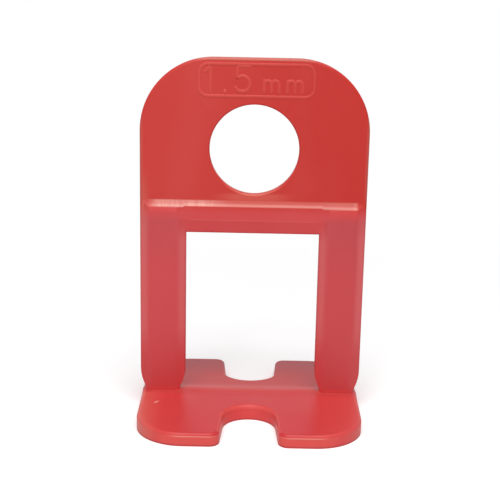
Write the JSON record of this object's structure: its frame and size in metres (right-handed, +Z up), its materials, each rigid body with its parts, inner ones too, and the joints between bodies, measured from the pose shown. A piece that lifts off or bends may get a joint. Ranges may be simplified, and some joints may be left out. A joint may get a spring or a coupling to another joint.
{
  "type": "tile levelling clip",
  "caption": "Upright moulded clip for levelling floor tiles: a notched base under the tiles, break-off legs around a wedge window and a rounded tab with a pull hole.",
  "frame": {"origin": "middle of the base's underside, on the surface it stands on", "axes": "+Z up from the base to the tab, +X across the plate, +Y from the pictured front to the back"},
  "size_m": [0.025, 0.0236, 0.0397],
  "materials": {
    "red_plastic": "semi-gloss moulded polypropylene"
  },
  "bodies": {
    "root": {"levelling_clip": "red_plastic"}
  },
  "joints": []
}
